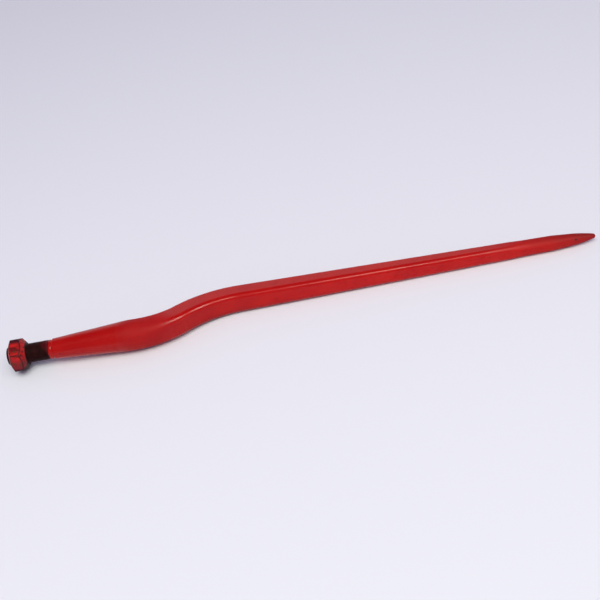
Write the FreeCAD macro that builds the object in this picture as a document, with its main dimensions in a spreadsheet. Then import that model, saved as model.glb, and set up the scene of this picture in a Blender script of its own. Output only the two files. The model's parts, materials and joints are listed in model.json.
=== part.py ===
"""Forged silage tine with its hexagon nut.

The tine is one forging: threaded stub, thread relief, seating cone, cranked
neck, tapered square bar and blunt point. Millimetres. The stub's axis is X,
with the origin at the centre of its free end. The crank lies in the XY plane.
"""
import FreeCAD, Part
import math
import os
import Sketcher

Vector = FreeCAD.Vector

os.makedirs("parts", exist_ok=True)
doc = FreeCAD.newDocument("silage_tine")

# Driving dimensions, in millimetres and degrees
DRIVING = [
    ("overall_length", 880.0, "free end of the stub to the end of the point"),
    ("thread_diameter", 28.0, "fine thread, drawn plain"),
    ("thread_length", 60.0, "free end to the relief"),
    ("thread_chamfer", 1.6, "lead-in at the free end"),
    ("relief_diameter", 26.6, "bottom of the thread relief"),
    ("relief_length", 4.0, "relief between thread and cone"),
    ("cone_small_diameter", 29.4, "seating cone at the relief"),
    ("cone_large_diameter", 45.1, "seating cone at the neck"),
    ("cone_length", 110.0, "length of the seating cone"),
    ("cone_edge", 0.8, "rounded edge at the cone's small end"),
    ("neck_length", 13.0, "straight neck from cone to crank"),
    ("crank_offset", 45.4, "stub axis to bar axis"),
    ("root_bend_radius", 125.0, "first bend, on the centre line"),
    ("bar_bend_radius", 165.0, "second bend, on the centre line"),
    ("bar_root_side", 34.7, "side of the square where the bar's taper starts"),
    ("bar_point_side", 22.2, "side of the square where the point begins"),
    ("root_corner", 7.6, "corner radius where the bar's taper starts"),
    ("point_corner", 6.4, "corner radius where the point begins"),
    ("point_length", 140.0, "end of the square bar to the tip"),
    ("draw_length", 40.0, "length over which the corners are drawn round"),
    ("drawn_side", 22.4, "side once the corners are drawn"),
    ("drawn_corner", 9.4, "corner radius once drawn"),
    ("taper_length", 65.0, "start of the quick taper to the tip"),
    ("taper_side", 21.6, "side where the quick taper starts"),
    ("taper_corner", 9.2, "corner radius where the quick taper starts"),
    ("nose_length", 38.0, "start of the bellied nose to the tip"),
    ("nose_diameter", 18.6, "where the nose starts"),
    ("nose_flank_radius", 260.0, "slight belly of the nose"),
    ("nose_end_radius", 3.8, "blunt tip"),
    ("nut_across_flats", 46.0, "hexagon nut"),
    ("nut_thickness", 24.0, "hexagon nut"),
    ("nut_setback", 4.4, "how far the stub stands out of the nut"),
    ("nut_turn", 26.5, "turn of the nut's corners from the crank plane"),
    ("nut_face_diameter", 37.8, "outer face, inside its chamfer"),
    ("nut_chamfer_angle", 30.0, "outer chamfer, from the face"),
    ("nut_seat_diameter", 32.6, "small end of the seat cone"),
    ("nut_seat_angle", 40.0, "seat cone, from the axis"),
    ("nut_countersink", 0.8, "lead-in at both ends of the bore"),
    ("thread_clearance", 0.05, "radial play between stub and nut"),
]

sheet = doc.addObject("Spreadsheet::Sheet", "Sizes")
for row, (alias, value, note) in enumerate(DRIVING, start=1):
    sheet.set(f"A{row}", note)
    sheet.set(f"B{row}", str(value))
    sheet.setAlias(f"B{row}", alias)
doc.recompute()

# Places along the stub's axis, as expressions of the sheet's cells
CONE_START = "(Sizes.thread_length + Sizes.relief_length)"
CONE_END = f"({CONE_START} + Sizes.cone_length)"
CRANK_START = f"({CONE_END} + Sizes.neck_length)"
BOTH_RADII = "(Sizes.root_bend_radius + Sizes.bar_bend_radius)"
BEND = f"acos(1 - Sizes.crank_offset / {BOTH_RADII})"
CRANK_END = f"({CRANK_START} + {BOTH_RADII} * sin({BEND}))"
POINT_START = "(Sizes.overall_length - Sizes.point_length)"
DRAWN_START = f"({POINT_START} + Sizes.draw_length)"
TAPER_START = "(Sizes.overall_length - Sizes.taper_length)"
NOSE_START = "(Sizes.overall_length - Sizes.nose_length)"

BAR_ROOT = f"({CRANK_START} + Sizes.root_bend_radius * sin({BEND}))"

# A round section is a square whose corner arcs leave flats this wide
ROUND_FLAT = 0.3
# How far from round to square the sections are: at the crank's start, then at
# shares of the first bend's angle
NECK_SQUARENESS = 0.06
ROOT_BEND_SECTIONS = [(0.333, 0.37), (0.667, 0.75), (1.0, 1.0)]
# Shares of the bend angle still to be undone in the second bend
BAR_BEND_SECTIONS = [0.667, 0.333, 0.0]
# How far the cutters of chamfer and seat reach past the nut's corners
CUTTER_MARGIN = 1.0


def origin_plane(body, role):
    """One of the body's own origin planes."""
    return next(plane for plane in body.Origin.OriginFeatures if plane.Role == role)


def new_sketch(body, name, role):
    """An empty sketch on one of the body's origin planes."""
    sketch = body.newObject("Sketcher::SketchObject", name)
    sketch.AttachmentSupport = [(origin_plane(body, role), "")]
    sketch.MapMode = "FlatFace"
    return sketch


def evaluate(expression):
    """The present value of an expression of the sheet's cells."""
    value = sheet.evalExpression(expression)
    return float(getattr(value, "Value", value))


def bind(sketch, kind, arguments, expression):
    """Adds a dimension to a sketch and ties it to an expression."""
    constraint = Sketcher.Constraint(kind, *arguments, evaluate(expression))
    number = sketch.addConstraint(constraint)
    sketch.setExpression(f"Constraints[{number}]", expression)


def pin(sketch, geometry, point, along, across):
    """Holds one end of an edge at a place measured from the sketch's origin."""
    bind(sketch, "DistanceX", (-1, 1, geometry, point), along)
    bind(sketch, "DistanceY", (-1, 1, geometry, point), across)


def join(sketch, edges):
    """Closes a run of edges end to start."""
    for edge, following in zip(edges, edges[1:] + edges[:1]):
        sketch.addConstraint(Sketcher.Constraint("Coincident", edge, 2, following, 1))


def polygon(sketch, corners):
    """A closed polygon with every corner held by two expressions."""
    places = [Vector(evaluate(along), evaluate(across), 0) for along, across in corners]
    edges = []
    for start, end in zip(places, places[1:] + places[:1]):
        edges.append(sketch.addGeometry(Part.LineSegment(start, end), False))
    join(sketch, edges)
    for edge, (along, across) in zip(edges, corners):
        pin(sketch, edge, 1, along, across)


def rounded_square(body, name, side, corner, along, across="0", heading="0"):
    """A square section with round corners, square to the tine's centre line.

    along and across place its centre in the crank's plane, heading turns it.
    """
    sketch = new_sketch(body, name, "YZ_Plane")
    upright = FreeCAD.Rotation(Vector(0, 1, 0), 1)
    sketch.AttachmentOffset = FreeCAD.Placement(Vector(0, 0, 0), upright)
    sketch.setExpression("AttachmentOffset.Base.z", along)
    sketch.setExpression("AttachmentOffset.Base.x", across)
    sketch.setExpression("AttachmentOffset.Rotation.Angle", heading)
    half = evaluate(side) / 2
    inner = half - evaluate(corner)
    lines = []
    arcs = []
    for quarter in range(4):
        turn = FreeCAD.Rotation(Vector(0, 0, 1), 90 * quarter)
        start = turn.multVec(Vector(half, -inner, 0))
        end = turn.multVec(Vector(half, inner, 0))
        middle = turn.multVec(Vector(inner, inner, 0))
        lines.append(sketch.addGeometry(Part.LineSegment(start, end), False))
        circle = Part.Circle(middle, Vector(0, 0, 1), half - inner)
        first = math.radians(90 * quarter)
        arc = Part.ArcOfCircle(circle, first, first + math.pi / 2)
        arcs.append(sketch.addGeometry(arc, False))
    for quarter in range(4):
        following = lines[(quarter + 1) % 4]
        line, arc = lines[quarter], arcs[quarter]
        upright_line = quarter % 2 == 0
        sketch.addConstraint(Sketcher.Constraint("Tangent", line, 2, arc, 1))
        sketch.addConstraint(Sketcher.Constraint("Tangent", arc, 2, following, 1))
        sketch.addConstraint(Sketcher.Constraint("Vertical" if upright_line else "Horizontal", line))
        sign = "" if quarter < 2 else "-"
        kind = "DistanceX" if upright_line else "DistanceY"
        bind(sketch, kind, (-1, 1, line, 1), f"{sign}({side}) / 2")
    for arc in arcs[1:]:
        sketch.addConstraint(Sketcher.Constraint("Equal", arcs[0], arc))
    bind(sketch, "Radius", (arcs[0],), corner)
    return sketch


def shared(first, last, share):
    """The value that lies a share of the way from one expression to another."""
    return f"(({first}) * {1 - share} + ({last}) * {share})"


def bar_value(root, point, along):
    """A size of the bar at a place along it, between its root and point values."""
    return f"({root} + ({point} - {root}) * ({along} - {BAR_ROOT}) / ({POINT_START} - {BAR_ROOT}))"


def revolve(body, name, kind, sketch):
    """A full turn of a sketch about the sketch's own X axis."""
    feature = body.newObject(kind, name)
    feature.Profile = sketch
    feature.ReferenceAxis = (sketch, ["H_Axis"])
    feature.Angle = 360.0


def loft(body, name, start, end):
    """A solid with straight edges from one section to the next."""
    feature = body.newObject("PartDesign::AdditiveLoft", name)
    feature.Profile = start
    feature.Sections = [end]
    feature.Ruled = True


def turned_end(body):
    """Stub, relief and seating cone, turned from the forging's root end."""
    thread = "Sizes.thread_diameter / 2"
    relief = "Sizes.relief_diameter / 2"
    small = "Sizes.cone_small_diameter / 2"
    large = "Sizes.cone_large_diameter / 2"
    sketch = new_sketch(body, "turned_profile", "XY_Plane")
    polygon(sketch, [
        ("0", "0"),
        ("0", f"{thread} - Sizes.thread_chamfer"),
        ("Sizes.thread_chamfer", thread),
        ("Sizes.thread_length", thread),
        (f"Sizes.thread_length + {thread} - {relief}", relief),
        (CONE_START, relief),
        (CONE_START, f"{small} - Sizes.cone_edge"),
        (f"{CONE_START} + Sizes.cone_edge", small),
        (CONE_END, large),
        (CONE_END, "0"),
    ])
    revolve(body, "turned_end", "PartDesign::Revolution", sketch)


def cranked_neck(body):
    """The neck's sections, from the round cone to the square bar."""
    round_side = "Sizes.cone_large_diameter"
    round_corner = f"({round_side} - {ROUND_FLAT}) / 2"

    def blended(share):
        side = shared(round_side, "Sizes.bar_root_side", share)
        return side, shared(round_corner, "Sizes.root_corner", share)

    sections = [
        rounded_square(body, "neck_round", *blended(0.0), CONE_END),
        rounded_square(body, "neck_straight", *blended(NECK_SQUARENESS), CRANK_START),
    ]
    for number, (share, squareness) in enumerate(ROOT_BEND_SECTIONS, start=1):
        angle = f"({share} * {BEND})"
        along = f"({CRANK_START} + Sizes.root_bend_radius * sin({angle}))"
        across = f"Sizes.root_bend_radius * (1 - cos({angle}))"
        name = f"root_bend_{number}"
        sections.append(rounded_square(body, name, *blended(squareness), along, across, angle))
    for number, share in enumerate(BAR_BEND_SECTIONS, start=1):
        angle = f"({share} * {BEND})"
        along = f"({CRANK_END} - Sizes.bar_bend_radius * sin({angle}))"
        across = f"Sizes.crank_offset - Sizes.bar_bend_radius * (1 - cos({angle}))"
        side = bar_value("Sizes.bar_root_side", "Sizes.bar_point_side", along)
        corner = bar_value("Sizes.root_corner", "Sizes.point_corner", along)
        name = f"bar_bend_{number}"
        sections.append(rounded_square(body, name, side, corner, along, across, angle))
    pipe = body.newObject("PartDesign::AdditivePipe", "cranked_neck")
    pipe.Profile = sections[0]
    pipe.Sections = sections[1:]
    pipe.Spine = centre_line(body)
    pipe.Transformation = "Multisection"
    return sections[-1]


def centre_line(body):
    """The neck's path: a straight run, then two arcs that cancel each other."""
    sketch = new_sketch(body, "centre_line", "XY_Plane")
    root, bar = evaluate("Sizes.root_bend_radius"), evaluate("Sizes.bar_bend_radius")
    start, crank = evaluate(CONE_END), evaluate(CRANK_START)
    end, offset = evaluate(CRANK_END), evaluate("Sizes.crank_offset")
    bend = math.radians(evaluate(BEND))
    upward = Vector(0, 0, 1)
    run = sketch.addGeometry(Part.LineSegment(Vector(start, 0, 0), Vector(crank, 0, 0)), False)
    first = Part.Circle(Vector(crank, root, 0), upward, root)
    quarter = math.pi / 2
    root_arc = sketch.addGeometry(Part.ArcOfCircle(first, -quarter, bend - quarter), False)
    second = Part.Circle(Vector(end, offset - bar, 0), upward, bar)
    bar_arc = sketch.addGeometry(Part.ArcOfCircle(second, quarter, quarter + bend), False)
    pin(sketch, run, 1, CONE_END, "0")
    pin(sketch, run, 2, CRANK_START, "0")
    sketch.addConstraint(Sketcher.Constraint("Tangent", run, 2, root_arc, 1))
    sketch.addConstraint(Sketcher.Constraint("Tangent", root_arc, 2, bar_arc, 2))
    bind(sketch, "Radius", (root_arc,), "Sizes.root_bend_radius")
    bind(sketch, "Radius", (bar_arc,), "Sizes.bar_bend_radius")
    pin(sketch, bar_arc, 1, CRANK_END, "Sizes.crank_offset")
    return sketch


def tapered_bar(body, bar_start):
    """The straight bar, tapering to where the point begins."""
    across = "Sizes.crank_offset"
    side, corner = "Sizes.bar_point_side", "Sizes.point_corner"
    bar_end = rounded_square(body, "bar_end", side, corner, POINT_START, across)
    loft(body, "tapered_bar", bar_start, bar_end)
    return bar_end


def blunt_point(body, bar_end):
    """The point: corners drawn round, a quick taper to round, then a bellied nose."""
    across = "Sizes.crank_offset"
    round_side = "Sizes.nose_diameter"
    round_corner = f"({round_side} - {ROUND_FLAT}) / 2"
    drawn = rounded_square(
        body, "drawn", "Sizes.drawn_side", "Sizes.drawn_corner", DRAWN_START, across)
    taper_start = rounded_square(
        body, "taper_start", "Sizes.taper_side", "Sizes.taper_corner", TAPER_START, across)
    nose_start = rounded_square(body, "nose_start", round_side, round_corner, NOSE_START, across)
    loft(body, "point_draw", bar_end, drawn)
    loft(body, "point_run", drawn, taper_start)
    loft(body, "point_taper", taper_start, nose_start)
    sketch = new_sketch(body, "nose_profile", "XY_Plane")
    sketch.setExpression("AttachmentOffset.Base.y", across)
    nose_arc(sketch)
    revolve(body, "nose", "PartDesign::Revolution", sketch)


def nose_arc(sketch):
    """Half of the nose: a flat arc running into a small round tip."""
    start = evaluate(NOSE_START)
    radius = evaluate("Sizes.nose_diameter / 2")
    flank = evaluate("Sizes.nose_flank_radius")
    tip = evaluate("Sizes.nose_end_radius")
    tip_centre = evaluate("Sizes.overall_length") - tip
    # The flank's centre lies flank - tip from the tip's centre, flank from the rim
    span = math.hypot(tip_centre - start, radius)
    reach = (flank ** 2 - (flank - tip) ** 2 + span ** 2) / (2 * span)
    drop = math.sqrt(flank ** 2 - reach ** 2)
    along = ((tip_centre - start) / span, -radius / span)
    centre = Vector(start + reach * along[0] + drop * along[1],
                    radius + reach * along[1] - drop * along[0], 0)
    meeting = math.atan2(-centre.y, tip_centre - centre.x)
    rim = math.atan2(radius - centre.y, start - centre.x)
    upward = Vector(0, 0, 1)
    base, end = Vector(start, 0, 0), Vector(tip_centre + tip, 0, 0)
    tip_circle = Part.Circle(Vector(tip_centre, 0, 0), upward, tip)
    axis = sketch.addGeometry(Part.LineSegment(base, end), False)
    tip_arc = sketch.addGeometry(Part.ArcOfCircle(tip_circle, 0, meeting), False)
    flank_circle = Part.Circle(centre, upward, flank)
    flank_arc = sketch.addGeometry(Part.ArcOfCircle(flank_circle, meeting, rim), False)
    face = sketch.addGeometry(Part.LineSegment(Vector(start, radius, 0), base), False)
    sketch.addConstraint(Sketcher.Constraint("Coincident", axis, 2, tip_arc, 1))
    sketch.addConstraint(Sketcher.Constraint("Tangent", tip_arc, 2, flank_arc, 1))
    sketch.addConstraint(Sketcher.Constraint("Coincident", flank_arc, 2, face, 1))
    sketch.addConstraint(Sketcher.Constraint("Coincident", face, 2, axis, 1))
    pin(sketch, axis, 1, NOSE_START, "0")
    pin(sketch, axis, 2, "Sizes.overall_length", "0")
    pin(sketch, face, 1, NOSE_START, "Sizes.nose_diameter / 2")
    bind(sketch, "DistanceX", (-1, 1, tip_arc, 3), "Sizes.overall_length - Sizes.nose_end_radius")
    sketch.addConstraint(Sketcher.Constraint("PointOnObject", tip_arc, 3, -1))
    bind(sketch, "Radius", (flank_arc,), "Sizes.nose_flank_radius")


def make_tine():
    """The forging, from the threaded stub to the point."""
    body = doc.addObject("PartDesign::Body", "tine")
    turned_end(body)
    bar_start = cranked_neck(body)
    bar_end = tapered_bar(body, bar_start)
    blunt_point(body, bar_end)
    return body


def make_nut():
    """Hexagon nut: chamfered outer face, seat cone towards the tine, countersunk bore."""
    body = doc.addObject("PartDesign::Body", "nut")
    corner = "Sizes.nut_across_flats / sqrt(3)"
    hexagon = new_sketch(body, "hexagon", "YZ_Plane")
    hexagon.AttachmentOffset = FreeCAD.Placement(Vector(0, 0, 0), FreeCAD.Rotation(Vector(0, 0, 1), 1))
    hexagon.setExpression("AttachmentOffset.Base.z", "Sizes.nut_setback")
    hexagon.setExpression("AttachmentOffset.Rotation.Angle", "Sizes.nut_turn")
    angles = range(0, 360, 60)
    polygon(hexagon, [(f"{corner} * cos({angle})", f"{corner} * sin({angle})") for angle in angles])
    blank = body.newObject("PartDesign::Pad", "blank")
    blank.Profile = hexagon
    blank.setExpression("Length", "Sizes.nut_thickness")
    near, far = "Sizes.nut_setback", "(Sizes.nut_setback + Sizes.nut_thickness)"
    bore = "(Sizes.thread_diameter / 2 + Sizes.thread_clearance)"
    lead = "Sizes.nut_countersink"
    face, seat = "Sizes.nut_face_diameter / 2", "Sizes.nut_seat_diameter / 2"
    outside = f"({corner} + {CUTTER_MARGIN})"
    chamfer_drop = f"({outside} - {face}) * tan(Sizes.nut_chamfer_angle)"
    seat_drop = f"({outside} - {seat}) / tan(Sizes.nut_seat_angle)"
    cuts = new_sketch(body, "turned_cuts", "XY_Plane")
    polygon(cuts, [(near, "0"), (near, f"{bore} + {lead}"), (f"{near} + {lead}", bore),
                   (f"{far} - {lead}", bore), (far, f"{bore} + {lead}"), (far, "0")])
    polygon(cuts, [(near, face), (near, outside), (f"{near} + {chamfer_drop}", outside)])
    polygon(cuts, [(far, seat), (far, outside), (f"{far} - {seat_drop}", outside)])
    revolve(body, "turned", "PartDesign::Groove", cuts)
    return body


def check(document, bodies):
    """Stops if anything in the document failed or a piece isn't one sound solid."""
    for item in document.Objects:
        if {"Invalid", "Error"} & set(item.State):
            raise RuntimeError(f"{item.Name} failed: {item.State}")
    for body in bodies:
        shape = body.Shape
        if shape.isNull() or not shape.isValid() or len(shape.Solids) != 1:
            raise RuntimeError(f"{body.Name} is not one valid solid")


pieces = [make_tine(), make_nut()]
doc.recompute()
check(doc, pieces)
for piece in pieces:
    piece.Label = piece.Name
    piece.Shape.exportStep(f"parts/{piece.Label}.step")
    box = piece.Shape.BoundBox
    print(f"{piece.Label}: {piece.Shape.Volume / 1000:.1f} cm3, X {box.XMin:.2f} to {box.XMax:.2f},"
          f" Y {box.YMin:.2f} to {box.YMax:.2f}, Z {box.ZMin:.2f} to {box.ZMax:.2f}")
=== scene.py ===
"""A forged silage tine lying on a pale floor, with its thread, paint and nut.

Metres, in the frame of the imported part: X along the stub and the bar, the crank
towards +Y, +Z up. Each section below makes one piece with its finish.
"""

import json
import math

import bpy
from mathutils import Matrix, Vector


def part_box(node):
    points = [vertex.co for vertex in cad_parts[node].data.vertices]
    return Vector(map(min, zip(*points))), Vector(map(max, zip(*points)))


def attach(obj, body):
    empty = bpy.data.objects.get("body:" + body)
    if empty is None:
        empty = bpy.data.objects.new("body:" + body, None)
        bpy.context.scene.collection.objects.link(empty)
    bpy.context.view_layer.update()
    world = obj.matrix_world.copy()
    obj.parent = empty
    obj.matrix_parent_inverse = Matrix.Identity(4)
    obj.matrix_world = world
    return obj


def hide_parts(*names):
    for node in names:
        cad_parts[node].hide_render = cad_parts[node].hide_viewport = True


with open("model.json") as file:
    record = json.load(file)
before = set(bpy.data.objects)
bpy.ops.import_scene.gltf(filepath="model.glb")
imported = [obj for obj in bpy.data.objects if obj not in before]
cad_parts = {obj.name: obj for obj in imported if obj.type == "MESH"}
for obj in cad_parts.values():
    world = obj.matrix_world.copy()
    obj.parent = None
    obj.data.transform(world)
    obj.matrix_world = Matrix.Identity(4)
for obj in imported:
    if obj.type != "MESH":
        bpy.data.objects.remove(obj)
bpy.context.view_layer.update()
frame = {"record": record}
tine_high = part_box("tine")[1]
nut_low, nut_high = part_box("nut")
mounts = {mount["name"]: mount for mount in frame["record"]["mounts"]}
scene = bpy.context.scene
scene.view_settings.view_transform = "Standard"


# The camera looks down on the lying tine from its belly side, as the photograph
# does. Its place was solved from the stub, the bar's edges and the point.
image_width_px = 600
focal_length_px = 976.6
camera_place = Vector((0.42553, -1.16481, 0.80814))
camera_yaw, camera_pitch, camera_roll = math.radians(0.2), math.radians(34.45), math.radians(9.9)

forward = Vector((math.sin(camera_yaw) * math.cos(camera_pitch),
                  math.cos(camera_yaw) * math.cos(camera_pitch), -math.sin(camera_pitch)))
level = Vector((math.cos(camera_yaw), -math.sin(camera_yaw), 0))
upright = level.cross(forward)
right = math.cos(camera_roll) * level - math.sin(camera_roll) * upright
above = math.sin(camera_roll) * level + math.cos(camera_roll) * upright
camera = bpy.data.objects.new("camera", bpy.data.cameras.new("camera"))
camera.data.lens = focal_length_px / image_width_px * camera.data.sensor_width
facing = Matrix((right, above, -forward)).transposed().to_4x4()
camera.matrix_world = Matrix.Translation(camera_place) @ facing
scene.collection.objects.link(camera)
scene.camera = camera


# The floor is one pale sheet. The tine lies on it at three points: a corner of
# the nut, the outside of the crank and the far side of the bar near its point.
floor_reach = 9.0
floor_colour = (0.84, 0.84, 0.92)
floor_roughness = 0.7
floor_gloss = 0.1
nut_contact = Vector((nut_high.x - 0.0133, -0.0014, nut_low.z + 0.0002))
crank_contact = Vector((0.343, 0.0553, -0.0161))
bar_contact = Vector((0.780, 0.0476, -0.0115))

floor_up = (bar_contact - nut_contact).cross(crank_contact - nut_contact).normalized()
floor_along = (bar_contact - nut_contact).normalized()
floor_across = floor_up.cross(floor_along)
middle = (nut_contact + bar_contact) / 2
floor_mesh = bpy.data.meshes.new("floor")
floor_corners = ((-1, -1), (1, -1), (1, 1), (-1, 1))
floor_mesh.from_pydata([middle + floor_reach * (along * floor_along + across * floor_across)
                        for along, across in floor_corners], [], [(0, 1, 2, 3)])
floor = bpy.data.objects.new("floor", floor_mesh)
scene.collection.objects.link(floor)
floor_paper = bpy.data.materials.new("floor_paper")
floor_paper.use_nodes = True
floor_shader = floor_paper.node_tree.nodes["Principled BSDF"]
floor_shader.inputs["Base Color"].default_value = (*floor_colour, 1)
floor_shader.inputs["Roughness"].default_value = floor_roughness
floor_shader.inputs["Specular IOR Level"].default_value = floor_gloss
floor_mesh.materials.append(floor_paper)


# Two soft lamps stand behind the camera and light the object. Two others, only seen in
# reflections, draw the lines along the upper corner. The room fills in, a little blue,
# and its reflection is white behind the object and dark overhead and in front.
lamps = {
    "high_lamp": {"place": (-0.10, -1.93, 3.45), "size": (2.5, 2.0), "power": 73.0,
                  "mirrored": False},
    "long_lamp": {"place": (1.35, -2.75, 3.30), "size": (4.4, 1.3), "power": 75.0,
                  "mirrored": False},
    "line_lamp": {"place": (1.07, -2.75, 3.30), "size": (0.66, 1.0), "power": 38.0,
                  "mirrored": True},
    "neck_lamp": {"place": (2.38, -2.02, 2.90), "size": (1.1, 2.0), "power": 98.0,
                  "mirrored": True},
}
lamp_colour = (0.96, 1.0, 0.855)
room_fill = (0.325, 0.29, 0.40, 1)
horizon_colour, overhead_colour = (0.95, 0.95, 0.97, 1), (0.09, 0.09, 0.095, 1)
# Heights and depths of the reflected room, on a sphere of radius 1
horizon_height, overhead_height = 0.45, 0.90
front_depth, back_depth = -0.35, 0.2
front_share = 0.2

for name, lamp in lamps.items():
    light = bpy.data.lights.new(name, "AREA")
    light.shape = "RECTANGLE"
    light.size, light.size_y = lamp["size"]
    light.energy, light.color = lamp["power"], lamp_colour
    shining = bpy.data.objects.new(name, light)
    shining.location = lamp["place"]
    shining.rotation_euler = (Vector(lamp["place"]) - middle).to_track_quat("Z", "Y").to_euler()
    shining.visible_diffuse = not lamp["mirrored"]
    shining.visible_glossy = lamp["mirrored"]
    scene.collection.objects.link(shining)


class Term:
    """A socket of a node tree. Operators on it add Math nodes, node() adds any other."""

    def __init__(self, tree, socket=None):
        self.tree = tree
        self.socket = socket

    def node(self, kind, settings=None, inputs=None, output=0):
        """Adds a node, sets it up, fills its sockets and returns one of its outputs."""
        made = self.tree.nodes.new(kind)
        for name, value in (settings or {}).items():
            if name == "stops":
                while len(made.color_ramp.elements) < len(value):
                    made.color_ramp.elements.new(0.5)
                for element, (position, shade) in zip(made.color_ramp.elements, value):
                    element.position, element.color = position, shade
            else:
                setattr(made, name, value)
        for name, value in (inputs or {}).items():
            if isinstance(value, Term):
                self.tree.links.new(value.socket, made.inputs[name])
            else:
                made.inputs[name].default_value = value
        return Term(self.tree, made.outputs[output] if len(made.outputs) else None)

    def maths(self, operation, *values):
        return self.node("ShaderNodeMath", {"operation": operation}, dict(enumerate(values)))

    def __add__(self, other):
        return self.maths("ADD", self, other)

    def __radd__(self, other):
        return self.maths("ADD", other, self)

    def __sub__(self, other):
        return self.maths("SUBTRACT", self, other)

    def __rsub__(self, other):
        return self.maths("SUBTRACT", other, self)

    def __mul__(self, other):
        return self.maths("MULTIPLY", self, other)

    def __rmul__(self, other):
        return self.maths("MULTIPLY", other, self)

    def __truediv__(self, other):
        return self.maths("DIVIDE", self, other)

    def __rtruediv__(self, other):
        return self.maths("DIVIDE", other, self)

    def __gt__(self, other):
        return self.maths("GREATER_THAN", self, other)

    def rise(self, start, end, curve="LINEAR"):
        """0 before start, 1 after end."""
        return self.node("ShaderNodeMapRange", {"interpolation_type": curve},
                         {"Value": self, "From Min": start, "From Max": end})

    def towards(self, other, share):
        """This value moved a share of the way to another."""
        return self + (other - self) * share

    def between(self, first, second):
        """Two colours mixed, with this as the share of the second."""
        return self.node("ShaderNodeMix", {"data_type": "RGBA"}, {"Factor": self, 6: first, 7: second}, 2)

    def tinted(self, shade, share):
        """This colour with a share of another shade over it."""
        return share.between(self, shade)

    def sine(self):
        return self.maths("SINE", self)

    def cosine(self):
        return self.maths("COSINE", self)

    def axis(self, name):
        """One coordinate of this place or direction."""
        return self.node("ShaderNodeSeparateXYZ", None, {0: self}, name)

    def noise(self, scale, detail):
        """Soft noise at this place."""
        return self.node("ShaderNodeTexNoise", None, {"Vector": self, "Scale": scale, "Detail": detail})

    def spots(self, scale):
        """How far this place is from the nearest of many scattered spots."""
        return self.node("ShaderNodeTexVoronoi", {"feature": "F1"}, {"Vector": self, "Scale": scale})


room = bpy.data.worlds.new("room")
room.use_nodes = True
room.node_tree.nodes.clear()
sky = Term(room.node_tree)
direction = sky.node("ShaderNodeTexCoord", None, None, "Generated")
low = 1 - direction.axis("Z").rise(horizon_height, overhead_height, "SMOOTHSTEP")
behind = direction.axis("Y").rise(front_depth, back_depth) * (1 - front_share) + front_share
mirrored = (low * behind).between(overhead_colour, horizon_colour)
glossy_ray = sky.node("ShaderNodeLightPath", None, None, "Is Glossy Ray")
glow = sky.node("ShaderNodeBackground", None, {"Color": glossy_ray.between(room_fill, mirrored)})
sky.node("ShaderNodeOutputWorld", None, {"Surface": glow})
scene.world = room


# The forging: relief, turned seating cone, cranked neck, square bar and point.
# One bar of steel, forged to shape, turned at the root and painted red.
weld_distance = 0.000005


def size_terms(tree, sizes):
    """Gives a geometry tree one named input for each size."""
    for name in sizes:
        tree.interface.new_socket(name=name, in_out="INPUT", socket_type="NodeSocketFloat")
    tree.interface.new_socket(name="Geometry", in_out="OUTPUT", socket_type="NodeSocketGeometry")
    entry = tree.nodes.new("NodeGroupInput")
    return {name: Term(tree, entry.outputs[name]) for name in sizes}


def finish_tree(shape, material):
    """Closes seam and poles, and ends the tree."""
    welded = shape.node("GeometryNodeMergeByDistance", None, {
        "Geometry": shape, "Distance": weld_distance})
    smooth = shape.node("GeometryNodeSetShadeSmooth", None, {"Geometry": welded})
    whole = shape.node("GeometryNodeRealizeInstances", None, {"Geometry": smooth})
    painted = shape.node("GeometryNodeSetMaterial", None, {"Geometry": whole, "Material": material})
    shape.node("NodeGroupOutput", None, {"Geometry": painted})


def grown(name, tree, sizes):
    """Runs a tree with its sizes and keeps the result as a plain mesh."""
    piece = bpy.data.objects.new(name, bpy.data.meshes.new(name))
    scene.collection.objects.link(piece)
    modifier = piece.modifiers.new(name, "NODES")
    modifier.node_group = tree
    for item in tree.interface.items_tree:
        if item.in_out == "INPUT":
            modifier[item.identifier] = sizes[item.name]
    evaluated = piece.evaluated_get(bpy.context.evaluated_depsgraph_get())
    mesh = bpy.data.meshes.new_from_object(evaluated)
    piece.modifiers.clear()
    piece.data = mesh
    mesh.name = name
    return piece


def unrolled(start, rings, steps):
    """A flat grid of unrolled rings, with each point's share of its length and of its turn."""
    grid = start.node("GeometryNodeMeshGrid", None, {
        "Size X": 1.0, "Size Y": 1.0, "Vertices X": rings, "Vertices Y": steps + 1})
    place = start.node("GeometryNodeInputPosition")
    return grid, place.axis("X") + 0.5, place.axis("Y") + 0.5


def new_finish(name):
    """An empty material, a term to start its nodes from and the place on the piece."""
    material = bpy.data.materials.new(name)
    material.use_nodes = True
    material.node_tree.nodes.clear()
    start = Term(material.node_tree)
    return material, start, start.node("ShaderNodeTexCoord", None, None, "Object")


def close_finish(start, constants, varying):
    """Ends a material in one Principled shader."""
    shader = start.node("ShaderNodeBsdfPrincipled", None, {**constants, **varying})
    start.node("ShaderNodeOutputMaterial", None, {"Surface": shader})


thread_radius = mounts["threaded_stub"]["dims"]["r_mm"] / 1000
thread_length = mounts["threaded_stub"]["dims"]["length_mm"] / 1000
cone_radius = mounts["seating_cone"]["dims"]["r_mm"] / 1000
cone_end = mounts["seating_cone"]["pos_m"][0]
cone_start = cone_end - mounts["seating_cone"]["dims"]["length_mm"] / 1000
overall_length = tine_high.x
nose_length, nose_radius = 0.038, 0.0093
flank_radius, tip_radius = 0.260, 0.0038
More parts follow.
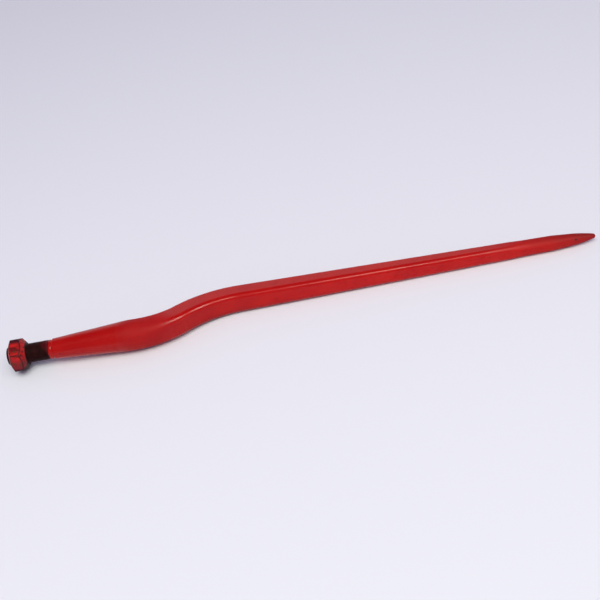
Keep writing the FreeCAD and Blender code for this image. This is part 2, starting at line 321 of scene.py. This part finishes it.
# The flank's circle passes through the nose's rim and touches the tip's
tip_centre = overall_length - tip_radius
nose_start = overall_length - nose_length
span = math.hypot(tip_centre - nose_start, nose_radius)
reach = (flank_radius ** 2 - (flank_radius - tip_radius) ** 2 + span ** 2) / (2 * span)
drop = math.sqrt(flank_radius ** 2 - reach ** 2)
slope_along, slope_across = (tip_centre - nose_start) / span, -nose_radius / span
flank_along = nose_start + reach * slope_along + drop * slope_across
flank_across = nose_radius + reach * slope_across - drop * slope_along
flank_share = flank_radius / (flank_radius - tip_radius)
nose_meeting = flank_along + (tip_centre - flank_along) * flank_share
# The forging's mesh starts a little inside the thread's
start_overlap, start_play = 0.001, 0.0001
forging_sizes = {
    "Start": thread_length - start_overlap,
    "Thread end": thread_length,
    "Thread radius": thread_radius - start_play,
    "Length": overall_length,
    "Relief radius": 0.0132,
    "Cone start": cone_start,
    "Cone end": cone_end,
    "Cone small radius": 0.0147,
    "Cone radius": cone_radius,
    "Neck length": 0.013,
    "Crank offset": 0.0454,
    "Root bend radius": 0.125,
    "Bar bend radius": 0.165,
    "Bar root half": 0.01735,
    "Bar point half": 0.0111,
    "Root corner": 0.0076,
    "Point corner": 0.0064,
    "Point length": 0.140,
    "Draw length": 0.040,
    # The point is round here, where the solid has narrow flats to lie still on
    "Drawn half": 0.0116,
    "Drawn corner": 0.0111,
    "Taper length": 0.065,
    "Taper half": 0.0112,
    "Taper corner": 0.0107,
    "Nose length": nose_length,
    "Nose radius": nose_radius,
    "Tip radius": tip_radius,
    "Flank radius": flank_radius,
    "Flank along": flank_along,
    "Flank across": flank_across,
    "Nose meeting": nose_meeting,
    "Hammer marks": 0.00035,
}
forging_rings = 600
steps_on_flat, steps_on_corner = 12, 10
ring_steps = 4 * (steps_on_flat + steps_on_corner)
flat_share = steps_on_flat / (steps_on_flat + steps_on_corner)
# How much closer the rings stand at both ends than in the middle
end_crowding = 0.85
# The relief's two walls, from the thread's end and from the cone's start. It begins a
# little later than the solid's, as the photograph shows it
groove_start, groove_fall = 0.0026, 0.0030
step_start, step_end = 0.0018, 0.0030
cone_edge_softness = 0.0008
mark_size, mark_detail = 0.030, 2.0


def forging_tree(material):
    """Sections set along the tine's centre line, round at both ends and square between."""
    tree = bpy.data.node_groups.new("forging", "GeometryNodeTree")
    size = size_terms(tree, forging_sizes)
    start = Term(tree)
    grid, share, round_share = unrolled(start, forging_rings, ring_steps)

    both_radii = size["Root bend radius"] + size["Bar bend radius"]
    bend = start.maths("ARCCOSINE", 1 - size["Crank offset"] / both_radii)
    crank_start = size["Cone end"] + size["Neck length"]
    bar_root = crank_start + size["Root bend radius"] * bend
    crank_end = bar_root + size["Bar bend radius"] * bend
    straight_gain = both_radii * bend - both_radii * bend.sine()
    line_length = size["Length"] + straight_gain
    crowded = share - (share * math.tau).sine() * (end_crowding / math.tau)
    along = size["Start"] + (line_length - size["Start"]) * crowded

    # The centre line: straight, two arcs that cancel each other, straight
    root_turn = along.rise(crank_start, bar_root) * bend
    bar_turn = along.rise(bar_root, crank_end) * bend
    heading = root_turn - bar_turn
    left_to_turn = bend - bar_turn
    line_x = (start.maths("MINIMUM", along, crank_start)
              + size["Root bend radius"] * root_turn.sine()
              + size["Bar bend radius"] * (bend.sine() - left_to_turn.sine())
              + start.maths("MAXIMUM", along - crank_end, 0.0))
    line_y = (size["Root bend radius"] * (1 - root_turn.cosine())
              + size["Bar bend radius"] * (left_to_turn.cosine() - bend.cosine()))

    # The round section: relief, cone, then the nose
    cone = (size["Cone small radius"] + (size["Cone radius"] - size["Cone small radius"])
            * (along - size["Cone start"]) / (size["Cone end"] - size["Cone start"]))
    cone = start.maths("SMOOTH_MIN", cone, size["Cone radius"], cone_edge_softness)
    shoulder = along.rise(size["Cone start"] + step_start, size["Cone start"] + step_end, "SMOOTHSTEP")
    groove_top = size["Thread end"] + groove_start
    groove = size["Thread radius"].towards(size["Relief radius"], along.rise(
        groove_top, groove_top + groove_fall, "SMOOTHSTEP"))
    turned = groove.towards(cone, shoulder)
    nose_x = start.maths("MAXIMUM", line_x, size["Length"] - size["Nose length"])
    from_flank = nose_x - size["Flank along"]
    flank_square = size["Flank radius"] * size["Flank radius"]
    flank = size["Flank across"] + start.maths("SQRT", flank_square - from_flank * from_flank)
    from_tip = start.maths(
        "MAXIMUM", nose_x - (size["Length"] - size["Tip radius"]), -1 * size["Tip radius"])
    tip_square = size["Tip radius"] * size["Tip radius"]
    tip = start.maths("SQRT", start.maths("MAXIMUM", tip_square - from_tip * from_tip, 0.0))
    nose = flank.towards(tip, nose_x > size["Nose meeting"])
    # The first ring closes on the axis, inside the stub
    opened = share > 0.5 / forging_rings
    radius = turned.towards(nose, along > crank_end) * opened

    # The square section, on four equal quarters of the ring
    point_start = line_length - size["Point length"]
    taper_start = line_length - size["Taper length"]
    to_point = along.rise(bar_root, point_start)
    to_drawn = along.rise(point_start, point_start + size["Draw length"], "SMOOTHSTEP")
    to_taper = along.rise(point_start + size["Draw length"], taper_start)
    half = (size["Bar root half"].towards(size["Bar point half"], to_point)
            .towards(size["Drawn half"], to_drawn).towards(size["Taper half"], to_taper))
    corner = (size["Root corner"].towards(size["Point corner"], to_point)
              .towards(size["Drawn corner"], to_drawn).towards(size["Taper corner"], to_taper))
    quarters = round_share * 4
    quarter = start.maths("MINIMUM", start.maths("FLOOR", quarters), 3.0)
    within = quarters - quarter
    on_flat = within.rise(0.0, flat_share)
    corner_turn = within.rise(flat_share, 1.0) * (math.pi / 2)
    inner = half - corner
    square_x = inner + corner * corner_turn.cosine()
    square_y = inner * (on_flat * 2 - 1) + corner * corner_turn.sine()
    flat_angle = start.maths("ARCTAN2", size["Bar root half"] - size["Root corner"], size["Bar root half"])
    angle = flat_angle * (on_flat * 2 - 1) + (math.pi / 2 - flat_angle * 2) * (corner_turn / (math.pi / 2))
    squareness = (along.rise(size["Cone end"], bar_root, "SMOOTHSTEP")
                  * (1 - along.rise(taper_start, line_length - size["Nose length"])))
    local_x = (radius * angle.cosine()).towards(square_x, squareness)
    local_y = (radius * angle.sine()).towards(square_y, squareness)
    turn = quarter * (math.pi / 2)
    across = local_x * turn.cosine() - local_y * turn.sine()
    upward = local_x * turn.sine() + local_y * turn.cosine()
    drawn = start.node("ShaderNodeCombineXYZ", None, {
        "X": line_x - across * heading.sine(),
        "Y": line_y + across * heading.cosine(),
        "Z": -1 * upward})
    shape = start.node("GeometryNodeSetPosition", None, {"Geometry": grid, "Position": drawn})

    # Marks of the hammer, none on the turned root
    wave = start.node("GeometryNodeInputPosition").noise(1 / mark_size, mark_detail)
    lift = (wave - 0.5) * size["Hammer marks"] * squareness
    push = start.node("ShaderNodeVectorMath", {"operation": "SCALE"}, {
        0: start.node("GeometryNodeInputNormal"), "Scale": lift})
    shape = start.node("GeometryNodeSetPosition", None, {"Geometry": shape, "Offset": push})
    finish_tree(shape, material)
    return tree


# The paint's shades, each as red, green, blue and alpha
paint_reds = [(0.35, (0.46, 0.003, 0.004, 1)), (0.65, (0.54, 0.006, 0.004, 1))]
deep_red, painted_shade_red = (0.27, 0.002, 0.003, 1), (0.20, 0.001, 0.003, 1)
point_shade_red, blotch_red = (0.20, 0.002, 0.002, 1), (0.30, 0.002, 0.002, 1)
sprayed_steel, fleck_brown = (0.05, 0.006, 0.010, 1), (0.10, 0.004, 0.006, 1)
chip_pink, nick_brown = (0.42, 0.20, 0.17, 1), (0.06, 0.004, 0.004, 1)
# How fine its patterns are, in features per metre
cloud_scale, blotch_scale, grain_scale = 22.0, 140.0, 900.0
fleck_scale, chip_scale = 75.0, 16.0
# Heights over which its upper and under sides begin
upper_side, under_side, point_upper_side = (0.007, 0.0125), (-0.014, -0.004), (-0.003, 0.009)
# Stretches along the tine over which a shade or the dullness comes or goes
cone_end_fade, cone_lit_top_fade, cone_lit_top_share = (0.20, 0.42), (0.17, 0.24), 0.5
bend_shade_start, bend_shade_end = (0.24, 0.30), (0.35, 0.60)
bar_top_shade_start, bar_top_shade_more = (0.28, 0.42), (0.60, 0.78)
point_shade_start, point_shade_more = (0.76, 0.86), (0.84, 0.88)
neck_dull_start, neck_dull_end, point_dull_start = (0.150, 0.190), (0.218, 0.250), (0.68, 0.80)
# The spray stops a little aslant before the relief, over bare oiled steel
spray_start, spray_slant, spray_waver = (0.0586, 0.0596), 0.2, 0.0006
nick_place, nick_rim, nick_waver = (0.848, 0.0378, 0.0040), (0.0012, 0.0028), 0.0008
fleck_rim, chip_rim, blotch_rim = (0.04, 0.09), (0.018, 0.030), (0.58, 0.75)
paint_gloss, paint_roughness, dull_roughness = 0.27, 0.16, 0.45


def red_paint():
    """Gloss red over the forging: uneven and darker on the cone, with a painted lighter top at the cone's
    end and painted shade under the bend, on the bar's top and at the point.
    """
    material, start, place = new_finish("red_paint")
    x, z = place.axis("X"), place.axis("Z")
    cloud, blotch = place.noise(cloud_scale, 3.0), place.noise(blotch_scale, 3.0)
    grain = place.noise(grain_scale, 2.0)
    from_nick = start.node("ShaderNodeVectorMath", {"operation": "DISTANCE"}, {
        0: place, 1: nick_place}, "Value")
    upper, under = z.rise(*upper_side), 1 - z.rise(*under_side)
    # Darker on the cone. On the upper side of the cone's end the darkening is halved, a painted lighter
    # top where light falls
    cone_darker_lit_top = (1 - x.rise(*cone_end_fade)) * (1 - upper * x.rise(*cone_lit_top_fade) * cone_lit_top_share)
    # Painted shade on the underside of the bend and the bar's root
    shade_under_bend = under * x.rise(*bend_shade_start) * (1 - x.rise(*bend_shade_end))
    # Painted shade on the bar's upper side, deeper towards the point
    shade_on_bar_top = upper * (x.rise(*bar_top_shade_start) * 0.22 + x.rise(*bar_top_shade_more) * 0.20)
    # Painted shade at the point, darker towards the tip and most on its upper side
    shade_at_point = (x.rise(*point_shade_start) * (0.2 + z.rise(*point_upper_side) * 0.6)
                + x.rise(*point_shade_more) * 0.3)
    sprayed = (x - z * spray_slant + (blotch - 0.5) * spray_waver).rise(*spray_start)
    past_nick = (from_nick + blotch * nick_waver).rise(*nick_rim)
    colour = start.node("ShaderNodeValToRGB", {"stops": paint_reds}, {"Fac": cloud})
    for shade, share in (
            (deep_red, cone_darker_lit_top * 0.52), (painted_shade_red, shade_under_bend * 0.55), (deep_red, shade_on_bar_top),
            (point_shade_red, shade_at_point), (blotch_red, blotch.rise(*blotch_rim) * 0.5),
            (sprayed_steel, 1 - sprayed),
            (fleck_brown, 1 - place.spots(fleck_scale).rise(*fleck_rim)),
            (chip_pink, 1 - place.spots(chip_scale).rise(*chip_rim)),
            (nick_brown, 1 - past_nick)):
        colour = colour.tinted(shade, share)
    bump = start.node("ShaderNodeBump", None, {
        "Height": grain + cloud * 2.0, "Strength": 0.15, "Distance": 0.0002})
    dull = (x.rise(*neck_dull_start, "SMOOTHSTEP") - x.rise(*neck_dull_end, "SMOOTHSTEP")
            + x.rise(*point_dull_start, "SMOOTHSTEP"))
    # The grain keeps the roughness from crossing any level along one sharp line
    roughness = paint_roughness + cloud * 0.08 + (grain - 0.5) * 0.3 + dull * dull_roughness
    close_finish(start, {"IOR": 1.45, "Specular IOR Level": paint_gloss}, {
        "Base Color": colour, "Roughness": roughness, "Normal": bump})
    return material


forging = grown("forging", forging_tree(red_paint()), forging_sizes)
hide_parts("tine")
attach(forging, "root")


# The fine thread on the stub, rolled in the bare steel and dark with old oil.
# The nut runs on it, and the paint's mist reaches its last turns.
thread_sizes = {
    "Length": thread_length,
    "Radius": thread_radius,
    "Pitch": 0.0015,
    "Depth": 0.00092,
    "Run-out": 0.003,
    "Chamfer": 0.0016,
}
steps_in_pitch = 8
thread_sides = 96
thread_rings = int(steps_in_pitch * (thread_length / thread_sizes["Pitch"] + 1)) + 2
# Shares of the pitch at which the crest ends and the root starts and ends
crest_end, root_start, root_end = 0.15, 0.50, 0.65
# Keeps a ring that starts a turn from being counted with the turn before
ring_nudge = 0.25
steel_browns = [(0.3, (0.014, 0.002, 0.002, 1)), (0.7, (0.034, 0.005, 0.005, 1))]
dust_red = (0.17, 0.004, 0.010, 1)
dust_start, dust_waver, dust_share = (0.060, 0.078), 0.008, 0.9
grime_scale = 160.0
steel_gloss, steel_roughness = 0.16, 0.62


def thread_tree(material):
    """Rings sheared into a helix, so that each crest is one unbroken edge."""
    tree = bpy.data.node_groups.new("thread", "GeometryNodeTree")
    size = size_terms(tree, thread_sizes)
    start = Term(tree)
    grid, share, turn = unrolled(start, thread_rings, thread_sides)
    ring = share * (thread_rings - 1)
    along = (ring / steps_in_pitch - 1 + turn) * size["Pitch"]
    within = start.maths("FRACT", (ring + ring_nudge) / steps_in_pitch)
    fall = within.rise(crest_end, root_start) - within.rise(root_end, 1.0)
    fade = 1 - along.rise(size["Length"] - size["Run-out"], size["Length"])
    radius = size["Radius"] - size["Depth"] * fall * fade
    held = start.maths("MINIMUM", start.maths("MAXIMUM", along, 0.0), size["Length"])
    radius = start.maths("MINIMUM", radius, size["Radius"] - size["Chamfer"] + held)
    # The first and the last ring close on the axis
    radius = radius * ((ring > 0.5) * (1 - (ring > thread_rings - 1.5)))
    angle = turn * math.tau
    drawn = start.node("ShaderNodeCombineXYZ", None, {
        "X": held,
        "Y": radius * angle.cosine(),
        "Z": -1 * radius * angle.sine()})
    shape = start.node("GeometryNodeSetPosition", None, {"Geometry": grid, "Position": drawn})
    finish_tree(shape, material)
    return tree


def oiled_steel():
    """Dark brown oiled steel, dusted red next to the paint."""
    material, start, place = new_finish("oiled_steel")
    grime = place.noise(grime_scale, 4.0)
    bare = start.node("ShaderNodeValToRGB", {"stops": steel_browns}, {"Fac": grime})
    dust = (place.axis("X") + place.axis("Z") + (grime - 0.5) * dust_waver).rise(*dust_start)
    close_finish(start, {"IOR": 1.4, "Specular IOR Level": steel_gloss}, {
        "Base Color": bare.tinted(dust_red, dust * dust_share),
        "Roughness": steel_roughness - grime * 0.25})
    return material


thread = grown("stub_thread", thread_tree(oiled_steel()), thread_sizes)
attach(thread, "root")


# The hexagon nut, hot forged and chamfered at both faces, run up near the end of
# the stub and painted there with the tine. Shade is painted on its inner face.
across_flats = 0.046
nut_turn = math.radians(26.5)
outer_face_radius, outer_chamfer = 0.0189, math.radians(30)
# Steeper than the solid's 40 degrees, as the photograph shows it
seat_radius, seat_angle = 0.0163, math.radians(50)
nut_edge_softness = 0.0011
# How far from an edge the paint is worn
nut_edge_reach = 0.0022
thread_play = 0.00005
nut_bore = thread_radius + thread_play
nut_lead = 0.0008
nut_sides = 240
side_steps = 56
face_steps = 5
sharpest_smooth = math.radians(40)
nut_reds = [(0.35, (0.10, 0.003, 0.004, 1)), (0.47, (0.36, 0.005, 0.006, 1)),
            (0.62, (0.54, 0.010, 0.009, 1))]
low_side_shade_red, rust_brown = (0.16, 0.010, 0.014, 1), (0.085, 0.026, 0.008, 1)
worn_brown, rim_shade_dark = (0.030, 0.003, 0.004, 1), (0.030, 0.003, 0.009, 1)
seat_shade_dark = (0.022, 0.003, 0.003, 1)
streak_scale, streak_stretch, rust_scale = 230.0, (0.35, 1.0, 1.0), 110.0
rust_rim, worn_rim, worn_waver = (0.60, 0.68), (0.25, 0.75), 1.1
# Heights over which the nut's painted shade on its lower side and on its top and bottom rims begins
shaded_side_heights, low_side = (-0.002, 0.008), (-0.010, -0.002)
top_rim, bottom_rim = (0.0228, 0.0246), (-0.0104, -0.0072)
# The painted shade on the seat, from the nut's end, and how much wider it is on the low side
seat_start, seat_end, seat_spread = 0.0012, 0.0004, 0.0022


def soft_min(first, second, width):
    """The lesser of two lengths, with a round join where they meet."""
    overlap = max(width - abs(first - second), 0) / width
    return min(first, second) - overlap * overlap * width / 4


def nut_reach(turn, x):
    """The nut's outside radius at an angle and a place along it, and how near an edge is."""
    sixth = math.pi / 3
    to_flat = (turn - nut_turn) % sixth - sixth / 2
    flat = across_flats / 2 / math.cos(to_flat)
    neighbour = across_flats / 2 / math.cos(sixth - abs(to_flat))
    hexagon = soft_min(flat, neighbour, nut_edge_softness)
    chamfer = outer_face_radius + (x - nut_low.x) / math.tan(outer_chamfer)
    seat = seat_radius + (nut_high.x - x) * math.tan(seat_angle)
    limits = sorted((hexagon, chamfer, seat))
    corner_gap = neighbour - flat if hexagon == limits[0] else nut_edge_reach
    near_edge = max(1 - min(limits[1] - limits[0], corner_gap) / nut_edge_reach, 0)
    return soft_min(soft_min(hexagon, chamfer, nut_edge_softness), seat, nut_edge_softness), near_edge


def nut_mesh():
    """Bore, faces and sides as one closed ring of strips."""
    near, far = nut_low.x, nut_high.x
    # Each ring's place along the nut, its radius and whether it lies on the outside
    outline = [(near + nut_lead, nut_bore, False)]
    mouth = nut_bore + nut_lead
    for step in range(face_steps):
        outline.append((near, mouth + (outer_face_radius - mouth) * step / face_steps, False))
    for step in range(side_steps + 1):
        share = (1 - math.cos(math.pi * step / side_steps)) / 2
        outline.append((near + (far - near) * share, None, True))
    for step in range(face_steps, 0, -1):
        outline.append((far, mouth + (seat_radius - mouth) * (step - 1) / face_steps, False))
    outline.append((far - nut_lead, nut_bore, False))
    points, edges = [], []
    for x, radius, outside in outline:
        for side in range(nut_sides):
            turn = math.tau * side / nut_sides
            distance, near_edge = nut_reach(turn, x) if outside else (radius, 0)
            points.append((x, distance * math.cos(turn), distance * math.sin(turn)))
            edges.append(near_edge)
    faces = []
    strips = len(outline)
    for strip in range(strips):
        for side in range(nut_sides):
            after, beside = (strip + 1) % strips, (side + 1) % nut_sides
            faces.append((strip * nut_sides + side, strip * nut_sides + beside,
                          after * nut_sides + beside, after * nut_sides + side))
    mesh = bpy.data.meshes.new("hexagon_nut")
    mesh.from_pydata(points, [], faces)
    mesh.attributes.new("edge", "FLOAT", "POINT").data.foreach_set("value", edges)
    mesh.shade_smooth()
    mesh.set_sharp_from_angle(angle=sharpest_smooth)
    return mesh


def nut_paint():
    """The same red, streaky and worn dark on the edges, with painted shade on its lower side, its rims and
    its seat.
    """
    material, start, place = new_finish("nut_paint")
    stretched = start.node("ShaderNodeVectorMath", {"operation": "MULTIPLY"}, {
        0: place, 1: streak_stretch})
    streak, cloud = stretched.noise(streak_scale, 4.0), place.noise(rust_scale, 4.0)
    edge = start.node("ShaderNodeAttribute", {"attribute_name": "edge"}, None, "Fac")
    x, z = place.axis("X"), place.axis("Z")
    worn = (edge + (streak - 0.5) * worn_waver).rise(*worn_rim)
    # Painted dark reflection and shade along the nut's top and bottom rims
    rim = z.rise(*top_rim) + 1 - z.rise(*bottom_rim)
    # Painted shade on the seat between nut and thread, wider on the low side
    seat = (x + (1 - z.rise(*low_side)) * seat_spread).rise(nut_high.x - seat_start, nut_high.x - seat_end)
    colour = start.node("ShaderNodeValToRGB", {"stops": nut_reds}, {"Fac": streak})
    # Painted shade over the nut's lower side, fading to a trace on its upper side
    for shade, share in (
            (low_side_shade_red, 0.80 - z.rise(*shaded_side_heights) * 0.72), (rust_brown, cloud.rise(*rust_rim) * 0.8),
            (worn_brown, worn * 0.8), (rim_shade_dark, rim * 0.93), (seat_shade_dark, seat)):
        colour = colour.tinted(shade, share)
    bump = start.node("ShaderNodeBump", None, {"Height": streak, "Strength": 0.35, "Distance": 0.0006})
    close_finish(start, {"IOR": 1.45, "Specular IOR Level": 0.25}, {
        "Base Color": colour, "Roughness": 0.38 + cloud * 0.2, "Normal": bump})
    return material


nut = bpy.data.objects.new("hexagon_nut", nut_mesh())
nut.data.materials.append(nut_paint())
scene.collection.objects.link(nut)
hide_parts("nut")
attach(nut, "root")
